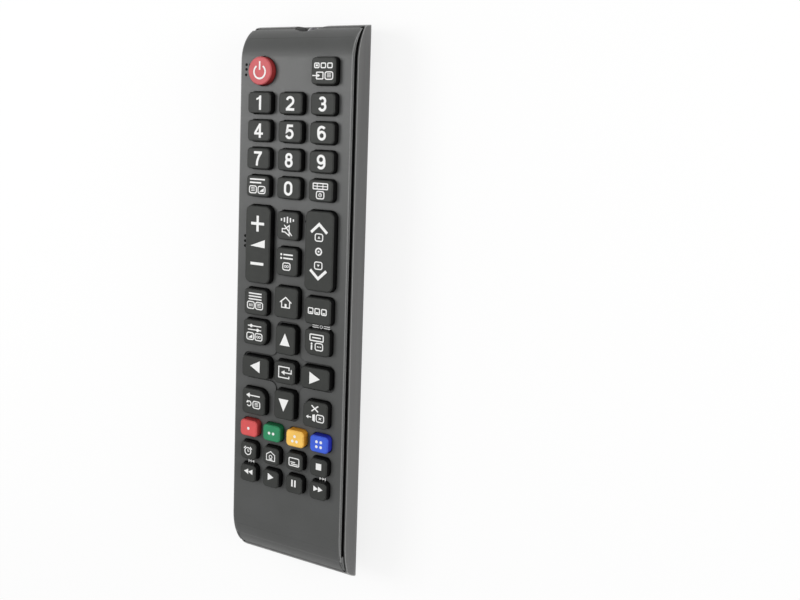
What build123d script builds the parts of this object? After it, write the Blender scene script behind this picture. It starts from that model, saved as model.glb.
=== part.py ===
from build123d import *
import math
import os
from dataclasses import dataclass

os.makedirs("parts", exist_ok=True)

# A television remote control lying on its back.
# +Z points up out of the key face, +Y points to the infrared end, X runs across.
# The origin lies under the middle of the body, on the flat of the belly. All sizes in mm.

# Body
body_length = 193.0
body_width = 44.2
wall = 2.0
ir_end_radius = 12.6  # the key face rolls over at the infrared end
tail_end_radius = 19.2  # and more gently at the tail
belly_flat = 8.0
belly_radius = 21.2
belly_corner_radius = 4.0
end_edge_radius = 1.2
beyond = 1.0  # how far a cutting profile passes the surface that it cuts

# Shadow groove between the two shells
face_edge = 1.3  # height of the front shell's edge on its long sides
groove_width = 2.7
groove_depth = 0.9
groove_exit = 8.4  # depth below the face where the groove runs out at both ends
groove_exit_gap = 0.5
groove_turn_ir = 13.2
groove_turn_tail = 16.0

# Keys: places are counted from the infrared end and from the centre line
tail_blank = 32.8  # bare face between the last row of keys and the tail
side_blank = 4.0  # bare face beside the widest key
column_pitch = 12.65
digit_row = 27.1
digit_pitch = 9.5
digit_width = 9.3
digit_length = 7.2
top_row = 16.3
power_diameter = 9.6
source_length = 8.9
rocker_row = 75.8
rocker_length = 26.8
volume_width = 10.2
channel_width = 11.0
rocker_column = 12.2
mute_row = 68.3
list_row = 80.6
middle_width = 8.5
mute_length = 9.6
menu_row = 95.9
menu_width = 9.4
menu_length = 9.0
home_row = 94.6
home_length = 10.6
content_width = 10.2
tools_row = 106.6
tools_length = 8.7
pad_row = 118.9
arrow_reach = 11.3  # from the centre of the pad to the centres of the up and down keys
arrow_side_reach = 12.2
arrow_width = 7.9
arrow_length = 9.9
side_arrow_width = 11.2
side_arrow_length = 7.4
enter_width = 8.4
enter_length = 7.7
return_row = 131.2
return_width = 9.7
return_length = 9.0
colour_row = 141.0
small_row_pitch = 8.1
small_pitch = 9.65
colour_width = 7.1
colour_length = 5.7
small_width = 6.6
small_length = 6.0
key_corner = 1.4
rocker_corner = 2.2
pad_side_corner = 3.0  # larger corner on the keys that face the arrow keys
key_rise = 2.4
key_edge = 0.35
key_gap = 0.3
key_travel = 0.8
pad_recess = 0.45
pad_margin = 0.9
pad_inner_corner = 2.4

# What lies under the key face
flange_lip = 0.8
flange_thickness = 0.7
flange_gap = 0.25
rocker_flange_drop = 0.3
rocker_flange_length = 10.0
mat_thickness = 1.0
mat_gap = 0.25
board_thickness = 1.2
board_gap = 1.45  # between the roof of the battery bay and the board
board_side_gap = 1.3
board_ir_margin = 7.0
board_tail_margin = 3.4  # past the last row of keys
board_corner = 2.0
mat_inset = 1.0
post_side = 3.5
post_side_inset = 2.9
post_end_inset = 7.5

# Battery bay and its sliding door
cell_diameter = 10.5
cell_length = 44.5
cell_nub_diameter = 3.8
cell_nub_length = 1.0
cell_spacing = 0.4
cell_clearance = 0.3
bay_row = 102.0  # centre of the bay
bay_wall = 1.1
spring_length = 4.0
spring_wire = 0.5
spring_diameter = 6.0
spring_turns = 1.5
contact_thickness = 0.4
contact_width = 8.0
contact_height = 8.4
contact_leg_width = 2.6
door_wall = 2.4
door_gap = 0.25
door_ledge = 1.0  # how far the door covers the bay's long walls
door_tab_width = 22.0
door_tab_reach = 9.5  # from the end of the straight sides to the centre of the tab
thumb_row = 62.5
door_shoulder = 1.0
tongue_reach = 1.0
tongue_depth = 1.0
tongue_start = 2.0
tongue_stop = 8.8  # before the end of the straight sides
floor_thickness = 1.2
floor_margin = 2.4
thumb_pad_diameter = 18.5
thumb_pad_depth = 1.3
dish_length = 27.0
dish_width = 24.0
dish_depth = 0.8
dish_draft = 25.0
dimple_diameter = 1.8
dimple_depth = 0.7
dimple_column = 6.0
dimple_row = 6.5

# Back recesses
screw_diameter = 2.8
screw_depth = 1.6
screw_column = 7.0
screw_row = 6.0

# Infrared lamp
lamp_diameter = 5.0
lamp_depth = 11.5  # below the key face
lamp_gap = 0.15
lamp_pocket_diameter = 13.0
lamp_pocket_depth = 4.5
lamp_sill = 0.5  # the pocket is flat this far under the lamp
lamp_backing = 1.5
lamp_boss_wall = 1.5
lamp_tip = 0.6  # the lamp's nose stops this far inside the infrared end
lamp_nose = 1.3
lamp_flange_diameter = 5.8
lamp_flange_length = 1.0
lamp_flange_gap = 0.1
lead_size = 0.5
lead_pitch = 2.54
lead_back = 1.8

# Parts on the underside of the board
chip_width = 7.5
chip_length = 17.8
chip_height = 2.3
chip_row = 48.0
chip_legs = 8
chip_leg_pitch = 2.0
chip_leg_width = 0.8
chip_leg_reach = 1.2
chip_leg_thickness = 0.3
resonator_width = 7.0
resonator_length = 3.0
resonator_height = 4.5
resonator_row = 32.0
capacitor_diameter = 5.0
capacitor_length = 9.0
capacitor_row = 24.0

# A corner cut twice follows its radius in three flats that touch the arc
first_cut = 1 - math.tan(math.radians(22.5))
second_cut = math.tan(math.radians(22.5)) - math.tan(math.radians(11.25))

# Levels of what is stacked in the body, from the belly to the key tops
door_pocket = door_wall + door_gap
cell_axis_height = door_pocket + cell_clearance + cell_diameter / 2
bay_ceiling = cell_axis_height + cell_diameter / 2 + cell_clearance
board_bottom = bay_ceiling + bay_wall + board_gap
board_top = board_bottom + board_thickness
mat_top = board_top + mat_thickness
flange_bottom = mat_top + mat_gap + key_travel
rocker_bottom = flange_bottom - rocker_flange_drop
plate_under = flange_bottom + flange_thickness + flange_gap
body_depth = plate_under + wall
key_top = body_depth + key_rise

# Places that follow from the sizes above
ir_end = body_length / 2
tail_end = -body_length / 2
half_width = body_width / 2
lamp_height = body_depth - lamp_depth
lamp_wall_back = ir_end - lamp_pocket_depth - lamp_backing
cell_column = (cell_diameter + cell_spacing) / 2
bay_half_width = cell_column + cell_diameter / 2 + cell_clearance
bay_length = cell_length + spring_length + 2 * contact_thickness
bay_tail = ir_end - bay_row - bay_length / 2
bay_ir = ir_end - bay_row + bay_length / 2
door_width = 2 * (bay_half_width + door_ledge)
door_straight_end = ir_end - thumb_row - door_tab_reach

# The key field keeps its bare margins when the body is made longer or wider
keys_end = colour_row + 2 * small_row_pitch + small_length / 2
row_scale = (body_length - tail_blank) / keys_end
channel_column = rocker_column + (channel_width - volume_width) / 2
column_scale = (half_width - side_blank) / (channel_column + channel_width / 2)
board_ir = ir_end - board_ir_margin
board_tail = ir_end - keys_end * row_scale - board_tail_margin
board_middle = (board_ir + board_tail) / 2
board_length = board_ir - board_tail
board_width = body_width - 2 * (wall + board_side_gap)


def from_ir(distance):
    """Place along Y of a point counted from the infrared end."""
    return ir_end - distance


@dataclass
class Key:
    """Place, size and corners of one key, seen from above."""

    x: float
    row: float
    width: float
    length: float
    corner: float = key_corner
    wide_corner: tuple = None  # sides in X and Y of the corner that faces the arrow keys
    rocks: bool = False


def key_table():
    """Every key by its name."""
    keys = {}
    keys["key_power"] = Key(-column_pitch, top_row, power_diameter, power_diameter, 0)
    keys["key_source"] = Key(column_pitch, top_row, digit_width, source_length)
    for number in range(9):
        row = digit_row + number // 3 * digit_pitch
        x = (number % 3 - 1) * column_pitch
        keys[f"key_digit_{number + 1}"] = Key(x, row, digit_width, digit_length)
    last_row = digit_row + 3 * digit_pitch
    for side, name in enumerate(("key_text", "key_digit_0", "key_guide")):
        x = (side - 1) * column_pitch
        keys[name] = Key(x, last_row, digit_width, digit_length)
    keys["key_volume"] = Key(
        -rocker_column, rocker_row, volume_width, rocker_length, rocker_corner, None, True
    )
    keys["key_channel"] = Key(
        channel_column, rocker_row, channel_width, rocker_length, rocker_corner, None, True
    )
    keys["key_mute"] = Key(0, mute_row, middle_width, mute_length)
    keys["key_list"] = Key(0, list_row, middle_width, mute_length)
    keys["key_menu"] = Key(-column_pitch, menu_row, menu_width, menu_length)
    keys["key_home"] = Key(0, home_row, menu_width, home_length)
    keys["key_content"] = Key(column_pitch, menu_row, content_width, menu_length)
    for side, upper, lower in ((-1, "key_tools", "key_return"), (1, "key_info", "key_exit")):
        x = side * column_pitch
        keys[upper] = Key(
            x, tools_row, return_width, tools_length, wide_corner=(-side, -1)
        )
        keys[lower] = Key(
            x, return_row, return_width, return_length, wide_corner=(-side, 1)
        )
    keys["key_up"] = Key(0, pad_row - arrow_reach, arrow_width, arrow_length)
    keys["key_down"] = Key(0, pad_row + arrow_reach, arrow_width, arrow_length)
    for side, name in ((-1, "key_left"), (1, "key_right")):
        x = side * arrow_side_reach
        keys[name] = Key(x, pad_row, side_arrow_width, side_arrow_length)
    keys["key_enter"] = Key(0, pad_row, enter_width, enter_length)
    small_names = (
        ("key_red", "key_green", "key_yellow", "key_blue"),
        ("key_alarm", "key_house", "key_subtitle", "key_stop"),
        ("key_rewind", "key_play", "key_pause", "key_forward"),
    )
    for line, names in enumerate(small_names):
        width = small_width if line else colour_width
        length = small_length if line else colour_length
        for place, name in enumerate(names):
            x = (place - 1.5) * small_pitch
            keys[name] = Key(x, colour_row + line * small_row_pitch, width, length)
    for key in keys.values():
        key.x *= column_scale
        key.width *= column_scale
        key.row *= row_scale
        key.length *= row_scale
    return keys


def key_outline(key, grow=0.0):
    """Outline of a key about its own centre, grown on every side."""
    with BuildSketch() as outline:
        if key.corner == 0:
            Circle(key.width / 2 + grow)
        else:
            half_x = key.width / 2 + grow
            half_y = key.length / 2 + grow
            Rectangle(2 * half_x, 2 * half_y)
            for side_x in (-1, 1):
                for side_y in (-1, 1):
                    wide = key.wide_corner == (side_x, side_y)
                    radius = grow + (pad_side_corner if wide else key.corner)
                    # three flats that touch the radius keep forty-two keys light
                    place = Vector(side_x * half_x, side_y * half_y)
                    corner = outline.vertices().sort_by_distance(place)[:1]
                    chamfer(corner, radius * first_cut)
                    corners = outline.vertices().sort_by_distance(place)[:2]
                    chamfer(corners, radius * second_cut)
    return outline.sketch


def pad_outline(enter, up, right):
    """The shallow cross that the four arrow keys stand in, about the enter key."""
    arm_x = up.width / 2 + pad_margin
    arm_y = right.length / 2 + pad_margin
    reach_x = right.x + right.width / 2 + pad_margin
    reach_y = enter.row - up.row + up.length / 2 + pad_margin
    with BuildSketch() as outline:
        Rectangle(2 * reach_x, 2 * arm_y)
        Rectangle(2 * arm_x, 2 * reach_y)
        by_reach = outline.vertices().sort_by(lambda v: abs(v.X) + abs(v.Y))
        fillet(by_reach[4:], key_corner + pad_margin)
        for side_x in (-1, 1):
            for side_y in (-1, 1):
                place = Vector(side_x * arm_x, side_y * arm_y)
                fillet(outline.vertices().sort_by_distance(place)[0], pad_inner_corner)
    return outline.sketch


def section_outline(inset):
    """Cross-section of the body, drawn inwards from its surface by the inset."""
    side = half_width - inset
    radius = belly_radius - inset
    swing = math.degrees(math.asin((side - belly_flat / 2) / radius))
    with BuildSketch() as outline:
        with BuildLine():
            flat = Line((0, inset), (belly_flat / 2, inset))
            belly = CenterArc((belly_flat / 2, belly_radius), radius, -90, swing)
            Line(belly @ 1, (side, body_depth - inset))
            Line((side, body_depth - inset), (0, body_depth - inset))
            Line((0, body_depth - inset), flat @ 0)
        make_face()
        corner = outline.vertices().sort_by_distance(belly @ 1)[0]
        fillet(corner, belly_corner_radius)
        mirror(about=Plane.YZ)
    return outline.sketch


def end_outline(inset, edge):
    """Side view of the body, with its key face rolled over at both ends."""
    half_length = body_length / 2 - inset
    with BuildSketch() as outline:
        with Locations((0, body_depth / 2)):
            Rectangle(2 * half_length, body_depth - 2 * inset)
        upper = outline.vertices().group_by(Axis.Y)[-1].sort_by(Axis.X)
        fillet(upper[0], tail_end_radius - inset)
        upper = outline.vertices().group_by(Axis.Y)[-1].sort_by(Axis.X)
        fillet(upper[-1], ir_end_radius - inset)
        if edge > 0:
            fillet(outline.vertices().group_by(Axis.Y)[0], edge)
    return outline.sketch


def body_blank(inset, edge=0.0):
    """The solid body, or what lies inside it at the inset."""
    with BuildPart() as blank:
        with BuildSketch(Plane.XZ):
            add(section_outline(inset))
        extrude(amount=body_length / 2, both=True)
        with BuildSketch(Plane.YZ):
            add(end_outline(inset, edge))
        extrude(amount=body_width, both=True, mode=Mode.INTERSECT)
    return blank.part


def belly_layer(outer, inner):
    """A layer that follows the belly between two depths, over the whole length."""
    with BuildPart() as layer:
        with BuildSketch(Plane.XZ):
            add(section_outline(outer))
            add(section_outline(inner), mode=Mode.SUBTRACT)
        extrude(amount=body_length / 2 + beyond, both=True)
        with BuildSketch():
            Rectangle(2 * body_width, 2 * body_length)
        extrude(amount=body_depth / 2, mode=Mode.INTERSECT)
    return layer.part


def above_edge(depth, exit_depth):
    """Everything above a shell's edge, which dips where it meets the two ends."""
    level = body_depth - depth
    exit_level = body_depth - exit_depth
    top = body_depth + beyond
    tail_start = (tail_end + groove_turn_tail, level)
    ir_start = (ir_end - groove_turn_ir, level)
    with BuildPart() as region:
        with BuildSketch(Plane.YZ):
            with BuildLine():
                Line(tail_start, ir_start)
                TangentArc(ir_start, (ir_end, exit_level), tangent=(1, 0))
                Polyline(
                    (ir_end, exit_level),
                    (ir_end + beyond, exit_level),
                    (ir_end + beyond, top),
                    (tail_end - beyond, top),
                    (tail_end - beyond, exit_level),
                    (tail_end, exit_level),
                )
                TangentArc(tail_start, (tail_end, exit_level), tangent=(-1, 0))
            make_face()
        extrude(amount=body_width, both=True)
    return region.part


def cross_plane(y):
    """Plane across the body at y, with X to the right and Z up."""
    return Plane(origin=(0, y, 0), x_dir=(1, 0, 0), z_dir=(0, -1, 0))


def along_y(diameter, start, end, x=0.0, z=0.0):
    """A round bar along Y."""
    with BuildPart() as bar:
        with BuildSketch(cross_plane(start)):
            with Locations((x, z)):
                Circle(diameter / 2)
        extrude(amount=start - end)
    return bar.part


def door_outline(grow=0.0):
    """Door seen from below: straight sides and a round thumb tab."""
    shoulder = door_straight_end + grow
    open_end = tail_end - beyond
    thumb = from_ir(thumb_row)
    with BuildSketch() as outline:
        with Locations((0, (open_end + shoulder) / 2)):
            Rectangle(door_width + 2 * grow, shoulder - open_end)
        fillet(outline.vertices().group_by(Axis.Y)[-1], door_shoulder)
        with Locations((0, (door_straight_end + thumb) / 2)):
            Rectangle(door_tab_width + 2 * grow, thumb - door_straight_end)
        with Locations((0, thumb)):
            Circle(door_tab_width / 2 + grow)
    return outline.sketch


def door_floor():
    """Floor of the shell under the door, which also backs the tongues' grooves."""
    with BuildPart() as floor:
        add(belly_layer(door_pocket, door_pocket + floor_thickness))
        with BuildSketch():
            add(door_outline(floor_margin))
        extrude(amount=body_depth, mode=Mode.INTERSECT)
        add(outer, mode=Mode.INTERSECT)
    return floor.part


def door_seat():
    """Room for the door and its tongues, open over the tail."""
    with BuildPart() as seat:
        add(belly_layer(-beyond, door_pocket))
        with BuildSketch(Plane.XY.offset(-beyond)):
            add(door_outline(door_gap))
        extrude(amount=body_depth, mode=Mode.INTERSECT)
        add(tongue_grooves())
    return seat.part


def tongue_grooves():
    """Grooves for the tongues under the shell's edges, run out through the tail."""
    groove_end = door_straight_end - tongue_stop + door_gap
    groove_start = tail_end - beyond
    with BuildPart() as grooves:
        add(belly_layer(tongue_depth - door_gap, door_pocket))
        with BuildSketch():
            with Locations((0, (groove_start + groove_end) / 2)):
                Rectangle(
                    door_width + 2 * (tongue_reach + door_gap), groove_end - groove_start
                )
        extrude(amount=body_depth, mode=Mode.INTERSECT)
    return grooves.part


def door_tongues():
    """The tongues along the door's long sides, on the inner half of its wall."""
    start = tail_end + tongue_start
    end = door_straight_end - tongue_stop
    with BuildPart() as tongues:
        add(belly_layer(tongue_depth, door_wall))
        with BuildSketch():
            with Locations((0, (start + end) / 2)):
                Rectangle(door_width + 2 * tongue_reach, end - start)
        extrude(amount=body_depth, mode=Mode.INTERSECT)
    return tongues.part


def thumb_dish():
    """Shallow dish round the thumb tab, cut into the shell and the door alike."""
    with BuildPart() as dish:
        add(belly_layer(-beyond, dish_depth))
        with BuildSketch(Plane.XY.offset(-beyond)):
            with Locations((0, from_ir(thumb_row))):
                SlotOverall(dish_length + 2 * beyond, dish_width + 2 * beyond, 90)
        extrude(amount=body_depth / 2, taper=dish_draft, mode=Mode.INTERSECT)
    return dish.part


def board_posts():
    """Posts that rise from the belly to carry the circuit board."""
    post_pitch_x = board_width - 2 * post_side_inset
    post_pitch_y = board_length / 2 - post_end_inset
    with BuildPart() as posts:
        with BuildSketch(Plane.XY.offset(wall)):
            with Locations((0, board_middle)):
                with GridLocations(post_pitch_x, post_pitch_y, 2, 3):
                    Rectangle(post_side, post_side)
        extrude(amount=board_bottom - wall)
        add(outer, mode=Mode.INTERSECT)
    return posts.part


def bay_block():
    """The walls and roof of the battery bay, still solid, down to the belly."""
    with BuildPart() as block:
        with BuildSketch(Plane.XY.offset(wall / 2)):
            with Locations((0, from_ir(bay_row))):
                Rectangle(2 * (bay_half_width + bay_wall), bay_length + 2 * bay_wall)
        extrude(amount=bay_ceiling + bay_wall - wall / 2)
        add(outer, mode=Mode.INTERSECT)
    return block.part


keys = key_table()
outer = body_blank(0, end_edge_radius)
cavity = body_blank(wall)
above_face_edge = above_edge(face_edge, groove_exit)
above_rear_edge = above_edge(face_edge + groove_width, groove_exit + groove_exit_gap)

# Both shells in one, with the pocket for the lamp in the infrared end
with BuildPart() as lamp_pocket:
    with BuildSketch(cross_plane(ir_end + beyond)):
        with Locations((0, lamp_height)):
            Circle(lamp_pocket_diameter / 2)
        with Locations((0, lamp_height - lamp_diameter / 2 - lamp_sill)):
            Rectangle(
                lamp_pocket_diameter,
                lamp_pocket_diameter,
                align=(Align.CENTER, Align.MAX),
                mode=Mode.SUBTRACT,
            )
    extrude(amount=lamp_pocket_depth + beyond)

with BuildPart() as housing:
    add(outer)
    add(cavity, mode=Mode.SUBTRACT)
    boss_diameter = lamp_pocket_diameter + 2 * lamp_boss_wall
    boss = along_y(boss_diameter, lamp_wall_back, ir_end, z=lamp_height)
    add(boss & outer)
    add(lamp_pocket.part, mode=Mode.SUBTRACT)
    add(
        along_y(
            lamp_diameter + 2 * lamp_gap,
            lamp_wall_back - beyond,
            ir_end,
            z=lamp_height,
        ),
        mode=Mode.SUBTRACT,
    )

# Front shell: key face, rolled ends and the recessed band that makes the groove
with BuildPart() as face_plate:
    add(housing.part)
    add(above_face_edge, mode=Mode.INTERSECT)

with BuildPart() as front_shell:
    add(housing.part)
    add(body_blank(groove_depth), mode=Mode.INTERSECT)
    add(above_rear_edge, mode=Mode.INTERSECT)
    add(face_plate.part)
    with BuildSketch(Plane.XY.offset(body_depth - pad_recess)):
        with Locations((0, from_ir(keys["key_enter"].row))):
            add(pad_outline(keys["key_enter"], keys["key_up"], keys["key_right"]))
    extrude(amount=pad_recess + beyond, mode=Mode.SUBTRACT)
    with BuildSketch(Plane.XY.offset(plate_under - beyond)):
        for key in keys.values():
            with Locations((key.x, from_ir(key.row))):
                add(key_outline(key, key_gap))
    extrude(amount=wall + 2 * beyond, mode=Mode.SUBTRACT)

front_shell.part.label = "front_shell"
export_step(front_shell.part, "parts/front_shell.step")

# Rear shell: belly, battery bay, door seat, posts for the board
with BuildPart() as rear_shell:
    add(housing.part)
    add(above_rear_edge, mode=Mode.SUBTRACT)
    add(door_floor())
    add(bay_block())
    add(board_posts())
    with BuildSketch(Plane.XY.offset(-beyond)):
        with Locations((0, from_ir(bay_row))):
            Rectangle(2 * bay_half_width, bay_length)
    extrude(amount=bay_ceiling + beyond, mode=Mode.SUBTRACT)
    with BuildSketch(Plane.XY.offset(bay_ceiling - beyond)):
        for side in (-1, 1):
            slot_y = bay_ir - contact_thickness / 2
            with Locations((side * cell_column, slot_y)):
                Rectangle(contact_leg_width + 2 * door_gap, contact_thickness)
    extrude(amount=bay_wall + 2 * beyond, mode=Mode.SUBTRACT)
    add(door_seat(), mode=Mode.SUBTRACT)
    add(thumb_dish(), mode=Mode.SUBTRACT)
    with BuildSketch(Plane.XY.offset(-beyond)):
        with Locations(*[(side * screw_column, from_ir(screw_row)) for side in (-1, 1)]):
            Circle(screw_diameter / 2)
    extrude(amount=screw_depth + beyond, mode=Mode.SUBTRACT)

rear_shell.part.label = "rear_shell"
export_step(rear_shell.part, "parts/rear_shell.step")

# Battery door: follows the belly, ends in a round thumb tab, slides off over the tail
with BuildPart() as battery_door:
    add(belly_layer(0, door_wall))
    with BuildSketch(Plane.XY.offset(-beyond)):
        add(door_outline())
    extrude(amount=body_depth, mode=Mode.INTERSECT)
    add(door_tongues())
    add(outer, mode=Mode.INTERSECT)
    add(thumb_dish(), mode=Mode.SUBTRACT)
    with BuildSketch(Plane.XY.offset(-beyond)):
        with Locations((0, from_ir(thumb_row))):
            Circle(thumb_pad_diameter / 2)
    extrude(amount=thumb_pad_depth + beyond, mode=Mode.SUBTRACT)
    with BuildSketch(Plane.XY.offset(-beyond)):
        dimple_y = tail_end + dimple_row
        with Locations((-dimple_column, dimple_y), (dimple_column, dimple_y)):
            Circle(dimple_diameter / 2)
    extrude(amount=dimple_depth + beyond, mode=Mode.SUBTRACT)

battery_door.part.label = "battery_door"
export_step(battery_door.part, "parts/battery_door.step")

# Two battery cells side by side, pointing opposite ways
for place, side in enumerate((-1, 1), start=1):
    plus_end = bay_ir - contact_thickness if side < 0 else bay_tail + contact_thickness
    with BuildPart() as cell:
        with BuildSketch(Plane.XZ):
            with BuildLine():
                shoulder = cell_length - cell_nub_length
                Polyline(
                    (0, 0),
                    (cell_diameter / 2, 0),
                    (cell_diameter / 2, shoulder),
                    (cell_nub_diameter / 2, shoulder),
                    (cell_nub_diameter / 2, cell_length),
                    (0, cell_length),
                    (0, 0),
                )
            make_face()
        revolve(axis=Axis.Z)
    turned = Rotation(-90 if side < 0 else 90, 0, 0) * cell.part
    start = plus_end - cell_length if side < 0 else plus_end + cell_length
    seated = Pos(side * cell_column, start, cell_axis_height) * turned
    seated.label = f"battery_cell_{place}"
    export_step(seated, f"parts/battery_cell_{place}.step")

# Flat contacts at the infrared end of the bay, each with a leg up to the board
for side, name in ((-1, "contact_plus"), (1, "contact_minus")):
    with BuildPart() as contact:
        with BuildSketch(cross_plane(bay_ir)):
            with Locations((side * cell_column, cell_axis_height)):
                Rectangle(contact_width, contact_height)
            leg_start = cell_axis_height + contact_height / 2
            with Locations((side * cell_column, (leg_start + board_bottom) / 2)):
                Rectangle(contact_leg_width, board_bottom - leg_start)
        extrude(amount=contact_thickness)
    contact.part.label = name
    export_step(contact.part, f"parts/{name}.step")

# One plate at the tail of the bay links the two cells
with BuildPart() as contact_link:
    with BuildSketch(cross_plane(bay_tail)):
        with Locations((0, cell_axis_height)):
            Rectangle(2 * cell_column + contact_width, contact_height)
    extrude(amount=-contact_thickness)

contact_link.part.label = "contact_link"
export_step(contact_link.part, "parts/contact_link.step")

# Coil springs at the flat ends of the cells
spring_rise = spring_length - spring_wire
for side, name in ((1, "spring_minus"), (-1, "spring_link")):
    seat = bay_ir - contact_thickness if side > 0 else bay_tail + contact_thickness
    start = seat - side * spring_wire / 2
    with BuildPart() as spring:
        with BuildLine():
            coil = Helix(
                pitch=spring_rise / spring_turns,
                height=spring_rise,
                radius=(spring_diameter - spring_wire) / 2,
                center=(side * cell_column, start, cell_axis_height),
                direction=(0, -side, 0),
            )
        with BuildSketch(Plane(origin=coil @ 0, z_dir=coil % 0)):
            RegularPolygon(spring_wire / 2, 4)
        sweep(path=coil, is_frenet=True)
    spring.part.label = name
    export_step(spring.part, f"parts/{name}.step")

# Rubber sheet under the keys, on the circuit board
with BuildPart() as keypad_mat:
    with BuildSketch(Plane.XY.offset(board_top)) as mat_outline:
        with Locations((0, board_middle)):
            Rectangle(board_width - 2 * mat_inset, board_length - 2 * mat_inset)
        chamfer(mat_outline.vertices(), board_corner)
    extrude(amount=mat_thickness)

keypad_mat.part.label = "keypad_mat"
export_step(keypad_mat.part, "parts/keypad_mat.step")

with BuildPart() as circuit_board:
    with BuildSketch(Plane.XY.offset(board_bottom)) as board_outline:
        with Locations((0, board_middle)):
            Rectangle(board_width, board_length)
        chamfer(board_outline.vertices(), board_corner)
    extrude(amount=board_thickness)

circuit_board.part.label = "circuit_board"
export_step(circuit_board.part, "parts/circuit_board.step")

# Infrared lamp with its two leads bent up to the board
with BuildPart() as ir_lamp:
    radius = lamp_diameter / 2
    tip = ir_end - lamp_tip
    flange_front = lamp_wall_back - lamp_flange_gap
    flange_back = flange_front - lamp_flange_length
    with BuildSketch(Plane.YZ):
        with BuildLine():
            Polyline(
                (tip, lamp_height),
                (flange_back, lamp_height),
                (flange_back, lamp_height + lamp_flange_diameter / 2),
                (flange_front, lamp_height + lamp_flange_diameter / 2),
                (flange_front, lamp_height + radius),
                (tip - lamp_nose, lamp_height + radius),
                (tip, lamp_height + radius - lamp_nose),
                (tip, lamp_height),
            )
        make_face()
    revolve(axis=Axis((0, 0, lamp_height), (0, 1, 0)))
    lead_end = flange_back - lead_back
    with BuildSketch(cross_plane(lead_end)):
        for side in (-1, 1):
            with Locations((side * lead_pitch / 2, lamp_height)):
                Rectangle(lead_size, lead_size)
    extrude(amount=-lead_back)
    with BuildSketch(Plane.XY.offset(lamp_height - lead_size / 2)):
        for side in (-1, 1):
            with Locations((side * lead_pitch / 2, lead_end + lead_size / 2)):
                Rectangle(lead_size, lead_size)
    extrude(amount=board_bottom - lamp_height + lead_size / 2)

ir_lamp.part.label = "ir_lamp"
export_step(ir_lamp.part, "parts/ir_lamp.step")

# Parts under the board
with BuildPart() as controller_chip:
    with BuildSketch(Plane.XY.offset(board_bottom - chip_height)):
        with Locations((0, from_ir(chip_row))):
            Rectangle(chip_width, chip_length)
    extrude(amount=chip_height - chip_leg_thickness)
    leg_span = chip_width + 2 * chip_leg_reach
    with BuildSketch(Plane.XY.offset(board_bottom - chip_leg_thickness)):
        with Locations((0, from_ir(chip_row))):
            with GridLocations(0, chip_leg_pitch, 1, chip_legs):
                Rectangle(leg_span, chip_leg_width)
    extrude(amount=chip_leg_thickness)

controller_chip.part.label = "controller_chip"
export_step(controller_chip.part, "parts/controller_chip.step")

with BuildPart() as resonator:
    with BuildSketch(Plane.XY.offset(board_bottom - resonator_height)):
        with Locations((0, from_ir(resonator_row))):
            Rectangle(resonator_width, resonator_length)
    extrude(amount=resonator_height)

resonator.part.label = "resonator"
export_step(resonator.part, "parts/resonator.step")

with BuildPart() as capacitor:
    with BuildSketch(Plane.XY.offset(board_bottom - capacitor_length)):
        with Locations((0, from_ir(capacitor_row))):
            Circle(capacitor_diameter / 2)
    extrude(amount=capacitor_length)

capacitor.part.label = "capacitor"
export_step(capacitor.part, "parts/capacitor.step")

# The keys: a cap through the face and, under the face, a flange that keeps it in
for name, key in keys.items():
    centre = (key.x, from_ir(key.row))
    bottom = rocker_bottom if key.rocks else flange_bottom
    flange_length = rocker_flange_length if key.rocks else key.length + 2 * flange_lip
    with BuildPart() as cap:
        with BuildSketch(Plane.XY.offset(bottom)):
            with Locations(centre):
                add(key_outline(key))
        extrude(amount=key_top - bottom)
        chamfer(cap.edges().group_by(Axis.Z)[-1], key_edge)
        with BuildSketch(Plane.XY.offset(bottom)):
            with Locations(centre):
                Rectangle(key.width + 2 * flange_lip, flange_length)
        extrude(amount=flange_thickness)
    cap.part.label = name
    export_step(cap.part, f"parts/{name}.step")
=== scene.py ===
"""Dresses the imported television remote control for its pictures.

The solids come from the frame and stay where they are. This script gives every solid its
finish, prints the marks on the keys and the case, and sets the floor, the lights and the camera.
"""

import logging
import math
from dataclasses import dataclass, replace
from enum import Enum
from functools import cached_property
from typing import Any, Iterable, Optional, Sequence

import bmesh
import bpy
from mathutils import Matrix, Vector
from mathutils.bvhtree import BVHTree


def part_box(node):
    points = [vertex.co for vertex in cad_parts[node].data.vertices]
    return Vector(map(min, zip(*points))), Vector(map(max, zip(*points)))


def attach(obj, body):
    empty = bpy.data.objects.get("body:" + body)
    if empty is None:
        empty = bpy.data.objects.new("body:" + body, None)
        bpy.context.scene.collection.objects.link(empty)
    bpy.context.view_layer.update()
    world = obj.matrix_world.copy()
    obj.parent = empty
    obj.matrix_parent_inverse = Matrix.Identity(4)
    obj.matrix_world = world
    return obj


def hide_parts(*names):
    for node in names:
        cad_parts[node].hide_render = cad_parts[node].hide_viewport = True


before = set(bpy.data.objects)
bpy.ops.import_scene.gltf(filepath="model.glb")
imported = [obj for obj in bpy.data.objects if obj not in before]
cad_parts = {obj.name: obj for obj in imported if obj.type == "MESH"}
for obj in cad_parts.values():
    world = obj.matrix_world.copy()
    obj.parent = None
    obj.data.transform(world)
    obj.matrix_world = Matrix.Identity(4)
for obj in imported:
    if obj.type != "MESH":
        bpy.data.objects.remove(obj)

LOG = logging.getLogger("remote")
MM = 0.001

Point = tuple[float, float]
Colour = tuple[float, float, float]
Spot = tuple[float, float, float]
Stroke = tuple[Any, ...]
Socket = bpy.types.NodeSocket
Material = bpy.types.Material


def placed(name: str, data: bpy.types.ID) -> bpy.types.Object:
    """Makes an object of its data and puts it into the scene.

    Args:
        name: Name of the object.
        data: Its mesh, light or camera.

    Returns:
        The new object.
    """
    made = bpy.data.objects.new(name, data)
    bpy.context.scene.collection.objects.link(made)
    return made


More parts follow.
